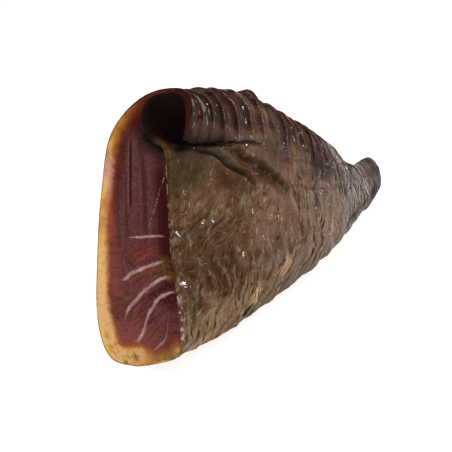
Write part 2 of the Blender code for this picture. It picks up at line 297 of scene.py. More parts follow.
def fleshSurface(place, turn, up, flesh):    # smears, short leaf edges and grain of the flesh side
    form = fleshRelief
    out = np.zeros_like(up)
    for waveAlong, waveRound, depth, phase in form["lumps"]:
        wave = np.sin(2 * np.pi * place / waveAlong + phase) * np.sin(2 * np.pi * turn / waveRound + phase)
        out = out + depth * wave
    wander = 3.0 * smoothNoise(place / 23.0, turn / 19.0, 21)
    streaks = smoothNoise(place / form["streakLength"], (turn + wander) / form["streakWidth"], 22)
    upper = smoothStep(28.0, 50.0, up) * smoothStep(135.0, 90.0, place)
    out = out + form["streakDepth"] * streaks * upper
    bend = form["leafBend"] * np.sin(2 * np.pi * up / 38.0) + 2.6 * smoothNoise(place / 9.0, up / 13.0, 23)
    leaf = ((place + bend) / form["leafPitch"]) % 1.0
    leafEdge = np.where(leaf < 0.25, smoothStep(0, 0.25, leaf), ((1 - leaf) / 0.75)**1.2)
    lower = smoothStep(58.0, 38.0, up) * smoothStep(3.0, 12.0, place) * smoothStep(150.0, 100.0, place)
    patchy = 0.55 + 0.45 * smoothNoise(place / 11.0, up / 9.0, 24)
    out = out + form["leafDepth"] * (leafEdge - 0.5) * lower * patchy
    # masks for the material: the gap is painted as shade, the edge as a highlight
    gap = smoothStep(0.34, 0.05, leafEdge) * lower * np.clip(patchy + 0.1, 0, 1)
    edge = np.exp(-((leaf - 0.30) / 0.09)**2) * lower * np.clip(patchy, 0, 1)
    out = out + form["grainDepth"] * smoothNoise(place / form["grain"], turn / form["grain"], 25)
    return out * flesh, gap * flesh, edge * flesh


def bellyGrid(place, rings):
    marks, height, lean = landmarks(place)
    points = closedSpline(marks, outlineColumns)
    across, up = points[..., 0].copy(), points[..., 1].copy()
    step = np.linalg.norm(np.diff(points, axis=1, prepend=points[:, :1]), axis=2)
    turn = np.cumsum(step, axis=1)
    lipColumn = sum(outlineColumns[:outlineNames.index("lip")])
    turn = turn - turn[:, lipColumn:lipColumn + 1]
    hollow = knotCurve(bellyForm["hollow"], place)[:, None]

    ringStrength = np.array([row[3] for row in outline])
    weight = alongOutline(hollow * ringStrength[:, 0] + (1 - hollow) * ringStrength[:, 1])

    def zone(first, last):
        chosen = [1.0 if outlineNames.index(first) <= i <= outlineNames.index(last) else 0.0
                  for i in range(len(outline))]
        return np.clip(alongOutline(np.repeat(np.array([chosen]), len(place), axis=0)), 0, 1)

    along = np.repeat(place[:, None], points.shape[1], axis=1)
    curl = zone("flapEdge", "hollowFloor")
    closed = 1 - smoothStep(0.0, 0.45, hollow)
    flesh = np.maximum(zone("lip", "soleEdge"), curl * closed)
    inHollow = curl * smoothStep(0.14, 0.36, hollow)
    # the pocket under the flap's roof, where the material paints shade
    crease = zone("roofFar", "hollowBack") * smoothStep(0.01, 0.06, hollow)
    rind = np.clip(zone("keel", "shoulder") + zone("sole", "sole"), 0, 1)
    flap = zone("crown", "flapEdge")
    bandFrom = knotCurve(bellyForm["bandFrom"], along)
    band = up / height[:, None] + 0.10 * smoothNoise(along / 8.0, turn / 6.0, 41)
    band = smoothStep(bandFrom - 0.07, bandFrom + 0.09, band) * (1 - rind)
    flap = flap + (band - flap) * smoothStep(52.0, 74.0, along)

    count = ringCount(place, rings)[:, None] + np.zeros_like(along)
    quiet = 1.0 - 0.75 * flesh * smoothStep(95.0, 60.0, along)
    out = ringRelief(count, turn, along) * weight * quiet
    foldOut, dark, brown = foldRelief(along, up, flesh)
    out = out + foldOut
    out = out + cragRelief(along, across, up)
    surface, leafGap, leafEdge = fleshSurface(along, turn, up, flesh)
    out = out + surface
    out = np.where(curl * smoothStep(0.02, 0.10, hollow) > 0.3, np.maximum(out, 0.0), out)
    out = out * smoothStep(0.0, 5.6, along)

    rimRound = alongOutline(np.repeat(np.array([[row[4] for row in outline]]), len(place), axis=0))
    beyond = np.clip(1 - along / rimRound, 0, 1)
    out = out - rimRound * (1 - np.sqrt(np.clip(1 - beyond**2, 0, 1)))
    out = out * smoothStep(bellyForm["length"], bellyForm["length"] - bellyForm["tipLength"], along)

    points = points + outwardInSection(points) * out[..., None]
    roundTheTip(place, points, height)
    lifted = np.maximum(points[..., 1], 0.0)
    x = place[:, None] + lean[:, None] * (lifted - bellyForm["leanPivot"] * height[:, None])
    wander = smoothNoise(turn / 15.0, along / 21.0, 12) + 0.7 * smoothNoise(turn / 6.0, along / 9.0, 15)
    x = x + ringForm["wander"] * wander * smoothStep(6, 20, along) * weight
    y = knotCurve(bellyForm["middle"], place)[:, None] - points[..., 0]
    position = np.stack([x, y, lifted], axis=2)
    fields = {"count": count, "turn": turn, "place": along, "up": up, "ringStrength": weight * quiet,
              "rind": rind, "flap": flap, "inHollow": inHollow, "crease": crease,
              "dark": dark, "brown": brown, "leafGap": leafGap, "leafEdge": leafEdge}
    return position, fields


rings = ringPlaces()
places = stationPlaces(rings)
grid, fields = bellyGrid(places, rings)
print("belly grid", grid.shape)

# The cut: how fine its mesh is, rind thickness by height, how deep it waves and its fibres stand
cutForm = {
    "spacing": 0.85,
    "rind": ((0, 10.5), (9, 10.0), (18, 8.6), (26, 6.8), (40, 6.0), (60, 5.7), (79, 5.4), (88, 5.0),
             (95, 4.7), (102, 4.0), (110, 2.8), (116, 1.0), (121, -0.5)),
    "wave": 0.7,
    "fibreDepth": 0.10,
    "seed": 5,
}

# The white sheets between the muscle leaves: line on the cut (across, up), half thickness
septa = (
    (((-4.2, 59.5), (1.8, 60.7), (6.7, 62.0), (14.5, 63.1)), 0.75),
    (((-8.4, 39.9), (-3.2, 43.6), (2.4, 46.9), (7.9, 49.7), (13.8, 51.7)), 1.05),
    (((-7.6, 21.6), (-6.5, 24.6), (-1.6, 31.6), (5.1, 38.9), (10.7, 43.6), (17.0, 45.7)), 1.10),
    (((-3.3, 12.2), (1.5, 17.0), (4.7, 25.6), (8.4, 32.8), (13.0, 37.3), (18.8, 39.4)), 1.05),
    (((5.8, 10.1), (10.4, 13.9), (13.6, 19.3), (15.2, 27.3)), 0.65),
)


def fromSheet(across, up, line):    # signed distance from a sheet's line
    slope = (knotCurve(line, across + 0.3) - knotCurve(line, across - 0.3)) / 0.6
    return (up - knotCurve(line, across)) / np.sqrt(1 + slope**2)


def gapToLine(points, line):    # distance of each point from an open line of points
    start, end = line[:-1], line[1:]
    run = end - start
    away = points[:, None] - start[None]
    share = np.clip((away * run).sum(2) / ((run * run).sum(1) + 1e-12), 0, 1)
    return np.linalg.norm(away - share[..., None] * run, axis=2).min(axis=1)


def insideOutline(points, loop):
    x, y = points[:, 0][:, None], points[:, 1][:, None]
    x1, y1 = loop[:, 0], loop[:, 1]
    x2, y2 = np.roll(x1, -1), np.roll(y1, -1)
    spans = (y1 > y) != (y2 > y)
    crossing = x1 + (y - y1) * (x2 - x1) / np.where(y2 == y1, 1e-9, y2 - y1)
    return (spans & (x < crossing)).sum(axis=1) % 2 == 1


def cutPoints(loop):    # an uneven grid of points inside the cut's outline
    rng = np.random.default_rng(cutForm["seed"])
    step = cutForm["spacing"]
    low, high = loop.min(0), loop.max(0)
    u, v = np.meshgrid(np.arange(low[0], high[0], step), np.arange(low[1], high[1], step))
    points = np.stack([u.ravel(), v.ravel()], axis=1)
    points = points + rng.uniform(-0.28, 0.28, points.shape) * step
    points = points[insideOutline(points, loop)]
    return points[gapToLine(points, np.vstack([loop, loop[:1]])) > 0.55 * step]


def outlinePart(loop, first, last):
    start = sum(outlineColumns[:outlineNames.index(first)])
    end = sum(outlineColumns[:outlineNames.index(last)])
    if end < start:
        return np.vstack([loop[start:], loop[:end + 1]])
    return loop[start:end + 1]


loop = np.stack([-grid[0, :, 1], grid[0, :, 2]], axis=1)    # across, up
inner = cutPoints(loop)
cutFlat = np.vstack([loop, inner])
cutIndex = list(range(len(loop)))
result = delaunay_2d_cdt([Vector(p) for p in cutFlat], [], [cutIndex], 1, 1e-6)
cutOrder = [ids[0] for ids in result[3]]
cutTriangles = [[cutOrder[i] for i in face] for face in result[2]]
print("cut face", len(cutFlat), "points", len(cutTriangles), "triangles")


def buildBelly():
    stations, columns = grid.shape[:2]
    body = grid.reshape(-1, 3)
    cap = np.stack([np.zeros(len(inner)), -inner[:, 0], inner[:, 1]], axis=1)
    pole = grid[-1].mean(axis=0)
    points = np.vstack([body, cap, [pole]])
    offset = stations * columns

    index = np.arange(offset).reshape(stations, columns)
    near, far = index[:-1], index[1:]
    quads = np.stack([near, np.roll(near, -1, 1), np.roll(far, -1, 1), far], axis=2).reshape(-1, 4)
    faces = quads.tolist()
    bodyFaces = len(faces) + columns
    last = index[-1]
    faces += [[int(a), int(b), offset + len(inner)] for a, b in zip(last, np.roll(last, -1))]
    shift = offset - columns
    faces += [[i if i < columns else i + shift for i in face] for face in cutTriangles]

    # the cut isn't quite flat: it waves inwards and its fibres stand up a little
    across, up = -points[:, 1], points[:, 2]
    depth = 0.5 + 0.5 * smoothNoise(across / 16.0, up / 27.0, 31)
    place = np.concatenate([fields["place"].ravel(), np.zeros(len(inner)), [bellyForm["length"]]])
    points[:, 0] += cutForm["wave"] * depth * smoothStep(9.0, 0.0, place)
    fine = smoothNoise(across / 1.7, up / 2.6, 32) * cutForm["fibreDepth"]
    points[offset:offset + len(inner), 0] += fine[offset:offset + len(inner)]
    points[:, 0] += cadBox[0].x / mm
    points[:, 1] += bellyForm["middleToBox"]

    mesh = bpy.data.meshes.new("smokedBelly")
    mesh.from_pydata((points * mm).tolist(), [], faces)
    mesh.update()
    slots = np.zeros(len(faces), dtype=np.int32)
    slots[bodyFaces:] = 1
    mesh.polygons.foreach_set("material_index", slots)

    flat = np.stack([across, up], axis=1)
    onCut = np.concatenate([np.arange(columns), np.arange(offset, offset + len(inner))])
    fromSkin = np.full(len(points), 99.0)
    fromHollow = np.full(len(points), 99.0)
    fromFlesh = np.full(len(points), 99.0)
    fromSkin[onCut] = gapToLine(flat[onCut], outlinePart(loop, "soleEdge", "top"))
    fromHollow[onCut] = gapToLine(flat[onCut], outlinePart(loop, "flapEdge", "lip"))
    fromFlesh[onCut] = gapToLine(flat[onCut], outlinePart(loop, "lip", "soleEdge"))
    thinner = 1 - 0.5 * smoothStep(-1.0, 9.0, across) * smoothStep(34.0, 14.0, up)
    rindLeft = knotCurve(cutForm["rind"], up) * thinner - fromSkin

    def vectorField(name, first, second, third):
        data = mesh.attributes.new(name, "FLOAT_VECTOR", "POINT").data
        data.foreach_set("vector", np.stack([first, second, third], axis=1).astype(np.float32).ravel())

    def spread(name):
        return np.concatenate([fields[name].ravel(), np.zeros(len(inner)), [fields[name][-1].mean()]])

    vectorField("leaf", spread("count"), spread("turn"), spread("place"))
    vectorField("zones", spread("rind"), spread("flap"), spread("inHollow"))
    vectorField("lie", spread("ringStrength"), spread("crease"), spread("up"))
    vectorField("cutPlace", across, up, rindLeft)
    vectorField("cutRims", fromHollow, fromFlesh, fromSkin)
    nothing = np.zeros(len(points))
    vectorField("marks", spread("dark"), spread("brown"), nothing)
    vectorField("lowLeaves", spread("leafGap"), spread("leafEdge"), nothing)
    sheets = [fromSheet(across, up, line) for line, _ in septa] + [nothing]
    vectorField("sheetsHigh", *sheets[:3])
    vectorField("sheetsLow", *sheets[3:])
    mesh.shade_smooth()
    belly = bpy.data.objects.new("smokedBelly", mesh)
    bpy.context.scene.collection.objects.link(belly)
    return belly


belly = buildBelly()
print("belly built", len(belly.data.polygons), "faces")


# Shader helpers. Inputs are given by name or number, as values or as sockets.
def fill(tree, sockets, values):
    for name, value in values.items():
        if isinstance(value, bpy.types.NodeSocket):
            tree.links.new(value, sockets[name])
        else:
            sockets[name].default_value = value


def newNode(tree, kind, inputs=None, **settings):
    node = tree.nodes.new(kind)
    for name, value in settings.items():
        setattr(node, name, value)
    fill(tree, node.inputs, inputs or {})
    return node


def calc(tree, operation, first, second=0.0):
    return newNode(tree, "ShaderNodeMath", {0: first, 1: second}, operation=operation).outputs[0]


def times(tree, first, *others):
    for other in others:
        first = calc(tree, "MULTIPLY", first, other)
    return first


def plus(tree, first, *others):
    for other in others:
        first = calc(tree, "ADD", first, other)
    return first


def minus(tree, first, second):
    return calc(tree, "SUBTRACT", first, second)


def larger(tree, first, second):
    return calc(tree, "MAXIMUM", first, second)


def swing(tree, value, span):    # 0 to 1 becomes half the span to either side of nought
    return times(tree, minus(tree, value, 0.5), span)


def awayFrom(tree, value, middle):
    return calc(tree, "ABSOLUTE", minus(tree, value, middle))


def ease(tree, value, low, high, atLow=0.0, atHigh=1.0):
    inputs = {"Value": value, "From Min": low, "From Max": high, "To Min": atLow, "To Max": atHigh}
    return newNode(tree, "ShaderNodeMapRange", inputs, interpolation_type="SMOOTHSTEP").outputs[0]


def between(tree, value, low, lowEnd, highEnd, high, strength=1.0):    # a band with soft ends
    return times(tree, ease(tree, value, low, lowEnd), ease(tree, value, highEnd, high, strength, 0.0))


def blend(tree, factor, first, second):
    return newNode(tree, "ShaderNodeMix", {0: factor, 2: first, 3: second}).outputs[0]


def joined(tree, x, y, z=0.0):
    return newNode(tree, "ShaderNodeCombineXYZ", {0: x, 1: y, 2: z}).outputs[0]


def parts(tree, vector):
    return newNode(tree, "ShaderNodeSeparateXYZ", {0: vector}).outputs


def stretched(tree, vector, x, y, z=1.0):
    inputs = {0: vector, 1: (x, y, z)}
    return newNode(tree, "ShaderNodeVectorMath", inputs, operation="MULTIPLY").outputs[0]


def noiseOf(tree, vector, scale, detail=3.0, roughness=0.55, distortion=0.0):
    inputs = {"Vector": vector, "Scale": scale, "Detail": detail, "Roughness": roughness,
              "Distortion": distortion}
    return newNode(tree, "ShaderNodeTexNoise", inputs).outputs[0]


def field(tree, name):    # one of the mesh's own fields, whole and as its three values
    node = newNode(tree, "ShaderNodeAttribute", attribute_type="GEOMETRY", attribute_name=name)
    whole = node.outputs["Vector"]
    return whole, *parts(tree, whole)


def tone(red, green, blue):    # a colour as it looks on screen, 0 to 255
    def linear(c):
        c = c / 255
        return c / 12.92 if c <= 0.04045 else ((c + 0.055) / 1.055)**2.4
    return (linear(red), linear(green), linear(blue), 1.0)


def startGroup(name, inputs, outputs):
    group = bpy.data.node_groups.new(name, "ShaderNodeTree")
    for label, kind, value in inputs:
        group.interface.new_socket(label, in_out="INPUT", socket_type=kind).default_value = value
    for label in outputs:
        group.interface.new_socket(label, in_out="OUTPUT", socket_type="NodeSocketFloat")
    return group, group.nodes.new("NodeGroupInput").outputs, group.nodes.new("NodeGroupOutput").inputs


def useGroup(tree, group, inputs):
    return newNode(tree, "ShaderNodeGroup", inputs, node_tree=group).outputs


number = "NodeSocketFloat"
vector = "NodeSocketVector"


def smokeMottleGroup():    # soft uneven patches, as smoke and oil leave them
    group, given, out = startGroup("smokeMottle", (
        ("Place", vector, (0, 0, 0)), ("Size", number, 8.0), ("Edge", number, 0.12),
        ("Level", number, 0.5), ("Detail", number, 3.0)), ("Mask",))
    scale = calc(group, "DIVIDE", 1.0, given["Size"])
    value = noiseOf(group, given["Place"], scale, given["Detail"], 0.6, 0.4)
    low = minus(group, given["Level"], given["Edge"])
    high = plus(group, given["Level"], given["Edge"])
    fill(group, out, {"Mask": ease(group, value, low, high)})
    return group


def fibreGroup():    # fibres that run along the first axis of the place given
    group, given, out = startGroup("fibres", (
        ("Place", vector, (0, 0, 0)), ("Length", number, 10.0), ("Width", number, 1.2),
        ("Twist", number, 1.0)), ("Height", "Gap"))
    bend = swing(group, noiseOf(group, given["Place"], 0.09, 2.0), given["Twist"])
    x, y, z = parts(group, given["Place"])
    across = calc(group, "DIVIDE", plus(group, y, bend), given["Width"])
    along = calc(group, "DIVIDE", x, given["Length"])
    value = noiseOf(group, joined(group, along, across, z), 1.0, 2.5, 0.55, 0.12)
    fill(group, out, {"Height": value, "Gap": ease(group, value, 0.36, 0.50, 1.0, 0.0)})
    return group


def ringEdgeGroup():    # where a muscle leaf's edge catches the light, and the nick before it
    group, given, out = startGroup("ringEdges", (
        ("Count", number, 0.0), ("Place", vector, (0, 0, 0)), ("Width", number, 0.05),
        ("At", number, 0.14)), ("Edge", "Nick"))
    wander = swing(group, noiseOf(group, given["Place"], 0.16, 2.0), 0.10)
    share = calc(group, "FRACT", plus(group, given["Count"], wander))
    edge = ease(group, awayFrom(group, share, given["At"]), 0.0, given["Width"], 1.0, 0.0)
    broken = ease(group, noiseOf(group, given["Place"], 0.55, 4.0, 0.7), 0.38, 0.60)
    fill(group, out, {"Edge": times(group, edge, broken), "Nick": ease(group, share, 0.80, 0.99)})
    return group


def oilFilmGroup():    # wet patches in a drier surface
    group, given, out = startGroup("oilFilm", (
        ("Place", vector, (0, 0, 0)), ("Size", number, 6.0), ("Dry", number, 0.5),
        ("Wet", number, 0.2), ("Level", number, 0.5)), ("Roughness", "Film"))
    scale = calc(group, "DIVIDE", 1.0, given["Size"])
    value = noiseOf(group, given["Place"], scale, 4.0, 0.6, 0.3)
    film = ease(group, value, minus(group, given["Level"], 0.10), plus(group, given["Level"], 0.10))
    span = minus(group, given["Wet"], given["Dry"])
    fill(group, out, {"Roughness": plus(group, given["Dry"], times(group, film, span)), "Film": film})
    return group


def speckGroup():    # scattered dark specks of uneven size
    group, given, out = startGroup("specks", (
        ("Place", vector, (0, 0, 0)), ("Spacing", number, 9.0), ("Radius", number, 0.5)), ("Mask",))
    scale = calc(group, "DIVIDE", 1.0, given["Spacing"])
    cells = newNode(group, "ShaderNodeTexVoronoi", {"Vector": given["Place"], "Scale": scale}).outputs
    chosen = parts(group, cells["Color"])[0]
    reach = times(group, calc(group, "DIVIDE", given["Radius"], given["Spacing"]), times(group, chosen, 1.6))
    fill(group, out, {"Mask": ease(group, cells["Distance"], times(group, reach, 0.5), reach, 1.0, 0.0)})
    return group


def septumGroup():    # a white sheet of tissue seen on edge, thinner towards both ends
    group, given, out = startGroup("septum", (
        ("Gap", number, 9.0), ("Place", vector, (0, 0, 0)), ("Thickness", number, 0.6),
        ("From", number, -10.0), ("To", number, 10.0)), ("Mask",))
    wobble = swing(group, noiseOf(group, given["Place"], 0.14, 2.0), 1.0)
    gap = calc(group, "ABSOLUTE", plus(group, given["Gap"], wobble))
    across = parts(group, given["Place"])[0]
    start = ease(group, across, minus(group, given["From"], 1.0), plus(group, given["From"], 3.0))
    end = ease(group, across, minus(group, given["To"], 4.0), plus(group, given["To"], 0.5), 1.0, 0.0)
    reach = times(group, start, end)
    uneven = ease(group, noiseOf(group, given["Place"], 0.3, 2.0), 0.3, 0.7, 0.7, 1.25)
    taper = plus(group, 0.45, times(group, reach, 0.55))
    thick = times(group, given["Thickness"], uneven, taper)
    line = ease(group, gap, times(group, thick, 0.1), times(group, thick, 1.15), 1.0, 0.0)
    fill(group, out, {"Mask": times(group, line, reach)})
    return group


smokeMottle = smokeMottleGroup()
fibres = fibreGroup()
ringEdges = ringEdgeGroup()
oilFilm = oilFilmGroup()
specks = speckGroup()
septum = septumGroup()
print("shader groups made")


def mottled(tree, place, size, edge, level=0.5, detail=3.0):
    inputs = {"Place": place, "Size": size, "Edge": edge, "Level": level, "Detail": detail}
    return useGroup(tree, smokeMottle, inputs)["Mask"]


def streaked(tree, place, length, width, twist):
    return useGroup(tree, fibres, {"Place": place, "Length": length, "Width": width, "Twist": twist})


def patchMask(tree, place, x, y, reachX, reachY, strength):    # a ragged patch round one place
    away = newNode(tree, "ShaderNodeVectorMath", {0: place, 1: (x, y, 0)}, operation="SUBTRACT").outputs[0]
    share = stretched(tree, away, 1 / reachX, 1 / reachY, 0.0)
    length = newNode(tree, "ShaderNodeVectorMath", {0: share}, operation="LENGTH").outputs["Value"]
    ragged = swing(tree, noiseOf(tree, place, 0.11, 4.0), 1.6)
    return ease(tree, plus(tree, length, ragged), 0.35, 1.25, strength, 0.0)


class Paint:    # a colour built up in coats; a coat is one of the look's tones or another paint
    def __init__(self, tree, look, mask, first, second):
        self.tree = tree
        self.look = look
        self.colour = self.mixed(mask, look[first], look[second])

    def mixed(self, mask, first, second):
        inputs = {0: mask, 6: first, 7: second}
        return newNode(self.tree, "ShaderNodeMix", inputs, data_type="RGBA").outputs[2]

    def coat(self, mask, over, strength=1.0):
        over = over.colour if isinstance(over, Paint) else self.look[over]
        mask = mask if strength == 1.0 else times(self.tree, mask, strength)
        self.colour = self.mixed(mask, self.colour, over)

    def patches(self, place, rows):
        for name, x, y, reachX, reachY, strength in rows:
            self.coat(patchMask(self.tree, place, x, y, reachX, reachY, strength), name)


def newMaterial(name):
    material = bpy.data.materials.new(name)
    material.use_nodes = True
    return material, material.node_tree, material.node_tree.nodes["Principled BSDF"].inputs


def wireUp(tree, shader, look, colour, roughness, coat, height):
    inputs = {"Height": height, "Strength": look["bump"], "Distance": look["bumpDepth"] * mm}
    bump = newNode(tree, "ShaderNodeBump", inputs).outputs[0]
    fill(tree, shader, {
        "Base Color": colour, "Roughness": roughness, "Coat Weight": coat, "Normal": bump,
        "Specular IOR Level": look["specular"], "Coat Roughness": look["coatRoughness"],
        "Coat IOR": look["coatIor"],
    })


smokedLook = {
    "tan": tone(126, 92, 60), "brown": tone(82, 47, 16), "olive": tone(58, 39, 3),
    "ochre": tone(104, 68, 26), "greenGrey": tone(100, 86, 60), "glintPale": tone(206, 192, 176),
    "mauve": tone(130, 94, 73),
    # gap also paints shade: in the pocket under the flap and in the nicks before the ring steps
    "amberBrown": tone(74, 38, 6), "gap": tone(38, 21, 7), "flake": tone(168, 142, 118),
    "ash": tone(138, 116, 98), "greyOlive": tone(78, 57, 40), "ridgeGrey": tone(82, 65, 44),
    # hollow and pit are painted shade: the hollow under the curl and the sunk creases
    "lowTan": tone(172, 136, 100), "peach": tone(218, 172, 132), "hollow": tone(30, 13, 14),
    "pit": tone(14, 7, 7), "speck": tone(24, 20, 16),
    "flapBrown": tone(30, 11, 4), "flapRed": tone(62, 24, 8), "flapPink": tone(98, 66, 50),
    # edgePale and edgeAsh: the ring edges' paler tone, partly painted highlight
    "edgePale": tone(158, 122, 106), "edgeAsh": tone(180, 158, 142),
    "tailGrey": tone(134, 120, 112), "tailPale": tone(192, 180, 172),
    "knob": tone(62, 44, 40), "knobDark": tone(34, 23, 22),
    "rindAmber": tone(220, 148, 58), "rindPale": tone(234, 180, 98), "rindBrown": tone(146, 84, 32),
    "smoke": tone(96, 54, 24),
    "dry": 0.58, "wet": 0.12, "inside": 0.95,    # roughness
    "specular": 0.07, "coatRoughness": 0.05, "coatIor": 1.45,
    "bump": 0.9, "bumpDepth": 1.1,
}

# Broad tones of the flesh side: tone, place and height of the middle, reach along and up, strength
smokedPatches = (
    ("olive", 10, 90, 26, 15, 0.9),
    ("amberBrown", 46, 74, 18, 7, 0.8),
    ("mauve", 84, 54, 36, 20, 0.8),
    ("mauve", 120, 60, 40, 22, 0.65),
    ("greyOlive", 92, 80, 24, 12, 0.85),
    ("lowTan", 44, 14, 60, 15, 0.7),
    ("peach", 58, 20, 8, 7, 0.9),
    ("peach", 20, 8, 12, 5, 0.6),
    ("amberBrown", 30, 40, 22, 9, 0.5),
    ("ash", 145, 36, 44, 22, 0.75),
    ("brown", 18, 56, 26, 13, 0.6),
    ("olive", 49, 79, 15, 7, 0.6),
    ("ash", 76, 30, 16, 7, 0.6),
    ("ash", 112, 18, 36, 14, 0.75),
    ("ash", 160, 14, 50, 16, 0.8),
    ("ridgeGrey", 37, 90, 9, 4, 0.9),
    ("ridgeGrey", 46, 84, 7, 4, 0.85),
    ("tan", 24, 74, 12, 8, 0.35),
    ("mauve", 31, 70, 12, 4, 0.6),
    ("mauve", 24, 60, 12, 4, 0.3),
    ("mauve", 58, 46, 15, 5, 0.6),
    ("amberBrown", 42, 78, 9, 4, 0.6),
    ("greenGrey", 62, 10, 12, 7, 0.6),
    ("peach", 84, 24, 7, 5, 0.6),
)


def smokedMaterial():
    look = smokedLook
    material, tree, shader = newMaterial("smokedSurface")
    objectPlace = newNode(tree, "ShaderNodeTexCoord").outputs["Object"]
    place = stretched(tree, objectPlace, 1 / mm, 1 / mm, 1 / mm)    # millimetres
    _, count, turn, along = field(tree, "leaf")
    _, rind, flap, inHollow = field(tree, "zones")
    _, ringStrength, crease, up = field(tree, "lie")
    _, dark, brown, _ = field(tree, "marks")
    _, leafGap, leafEdge, _ = field(tree, "lowLeaves")
    fromCut = minus(tree, parts(tree, place)[0], cadBox[0].x / mm)
    sidePlace = joined(tree, fromCut, up)
    flow = joined(tree, fromCut, plus(tree, times(tree, fromCut, -0.34), up))    # climbs with the smears
    crossFlow = joined(tree, turn, along)

    # flesh side
    chips = mottled(tree, flow, 4.4, 0.05, 0.60)
    paint = Paint(tree, look, mottled(tree, place, 14.0, 0.13), "brown", "tan")
    paint.coat(mottled(tree, place, 4.2, 0.06, 0.52), "amberBrown", 0.75)
    paint.coat(mottled(tree, place, 8.0, 0.07, 0.56), "ochre", 0.6)
    paint.coat(chips, "flake", 0.6)
    paint.coat(mottled(tree, flow, 6.5, 0.06, 0.57), "amberBrown", 0.7)
    paint.coat(mottled(tree, crossFlow, 7.0, 0.06, 0.57), "greenGrey", 0.55)
    paint.patches(sidePlace, smokedPatches)

    # dark gaps and pale flakes: smears above, short upright leaves below and towards the tail
    smears = streaked(tree, flow, 11.0, 2.4, 14.0)
    shortLeaves = streaked(tree, crossFlow, 11.0, 3.0, 10.0)
    lowBand = larger(tree, ease(tree, up, 34.0, 58.0, 1.0, 0.0), ease(tree, fromCut, 70.0, 110.0))
    calm = ease(tree, up, 62.0, 82.0, 1.0, 0.15)
    busy = times(tree, ease(tree, noiseOf(tree, place, 0.07, 3.0), 0.36, 0.60, 0.25, 1.0), calm)
    gapTone = blend(tree, lowBand, smears["Gap"], shortLeaves["Gap"])
    gapTone = times(tree, gapTone, ease(tree, lowBand, 0.0, 1.0, 0.8, 1.0), busy)
    # painted shade in the low leaves' gaps
    gapTone = larger(tree, gapTone, times(tree, leafGap, 0.6))
    paint.coat(gapTone, "gap")
    lights = blend(tree, lowBand, smears["Height"], shortLeaves["Height"])
    lights = times(tree, ease(tree, lights, 0.54, 0.68), calm)
    flakes = times(tree, lights, ease(tree, lowBand, 0.0, 1.0, 0.28, 0.45))
    # painted highlight along the low leaves' raised edges
    paint.coat(larger(tree, flakes, times(tree, leafEdge, 0.35)), "flake")
    # painted shade: browner along the valley below the first fold
    paint.coat(brown, "amberBrown", 0.85)
    # painted highlight: broken pale glints along the flesh side's edge by the cut, low down
    glintRim = times(tree, ease(tree, along, 0.3, 2.6, 1.0, 0.0),
                   between(tree, up, 10.0, 20.0, 34.0, 46.0, 0.8),
                   ease(tree, noiseOf(tree, place, 0.5, 3.0), 0.50, 0.62, 0.0, 0.85))
    paint.coat(glintRim, "glintPale")

    # crown and curl, dark between the leaves' pale edges
    flapMottle = mottled(tree, place, 7.0, 0.14)
    lowFlap = plus(tree, up, times(tree, flapMottle, 3.0), times(tree, fromCut, 0.3))
    lowFlap = ease(tree, lowFlap, 111.5, 116.5, 1.0, 0.0)
    lowFlap = times(tree, lowFlap, ease(tree, fromCut, 62.0, 84.0, 1.0, 0.0))
    flapPaint = Paint(tree, look, flapMottle, "flapBrown", "flapRed")
    flapPaint.coat(lowFlap, "flapPink", 0.9)
    paint.coat(flap, flapPaint)
    front = times(tree, flap, ease(tree, along, 0.5, 11.0, 0.6, 0.0))
    front = times(tree, front, ease(tree, lowFlap, 0.0, 1.0, 0.4, 1.0))
    paint.coat(front, "flapBrown")
    edges = useGroup(tree, ringEdges, {"Count": count, "Place": place})
    halfWay = {"Count": plus(tree, count, 0.5), "Place": place, "Width": 0.035}
    patchy = ease(tree, noiseOf(tree, place, 0.12, 2.0), 0.45, 0.60, 0.0, 0.7)
    weakEdge = times(tree, useGroup(tree, ringEdges, halfWay)["Edge"], ringStrength, patchy)
    strongEdge = larger(tree, times(tree, edges["Edge"], ringStrength), weakEdge)
    strongEdge = times(tree, strongEdge, ease(tree, lowFlap, 0.0, 1.0, 1.0, 0.45))
    # the leaves' edges: paler tissue, partly a painted highlight where the crests catch the light
    edgePaint = Paint(tree, look, ease(tree, fromCut, 90.0, 160.0), "edgePale", "edgeAsh")
    paint.coat(strongEdge, edgePaint, 0.85)
    # painted shade in the nick in front of each step
    paint.coat(times(tree, edges["Nick"], ringStrength), "gap", 0.5)

    # tail
    tailMottle = mottled(tree, place, 6.0, 0.10)
    tailStreaks = streaked(tree, crossFlow, 16.0, 1.6, 5.0)
    tailPaint = Paint(tree, look, tailMottle, "knob", "tailGrey")
    tailPaint.coat(ease(tree, tailStreaks["Height"], 0.52, 0.62), "tailPale")
    tailPaint.coat(tailStreaks["Gap"], "knobDark", 0.55)
    paint.coat(ease(tree, fromCut, 138.0, 205.0), tailPaint, 0.8)
    knobPaint = Paint(tree, look, tailMottle, "knobDark", "knob")
    paint.coat(ease(tree, fromCut, 240.0, 262.0, 0.0, 0.75), knobPaint)

    # rind on the back and the sole
    rindMottle = mottled(tree, place, 11.0, 0.20)
    rindPaint = Paint(tree, look, rindMottle, "rindAmber", "rindPale")
    rindPaint.coat(mottled(tree, place, 2.4, 0.14), "rindBrown", 0.3)
    rindPaint.coat(mottled(tree, place, 24.0, 0.14, 0.54, 5.0), "smoke", 0.55)
    towardsTail = ease(tree, fromCut, 60.0, 230.0, 0.0, 0.8)
    rindPaint.coat(larger(tree, towardsTail, ease(tree, up, 70.0, 110.0, 0.0, 0.8)), "rindBrown")
    rindMask = ease(tree, plus(tree, rind, swing(tree, rindMottle, 0.3)), 0.3, 0.7)
    paint.coat(rindMask, rindPaint)
    # painted shade: the creases and the tail's slit darkened
    paint.coat(dark, "pit", 0.8)
    # painted shade: the pocket under the flap
    paint.coat(crease, "gap")
    # painted shade: the hollow under the curl, near black
    paint.coat(inHollow, "hollow")
    spots = useGroup(tree, specks, {"Place": place, "Spacing": 13.0, "Radius": 0.38})["Mask"]
    paint.coat(spots, "speck", 0.8)

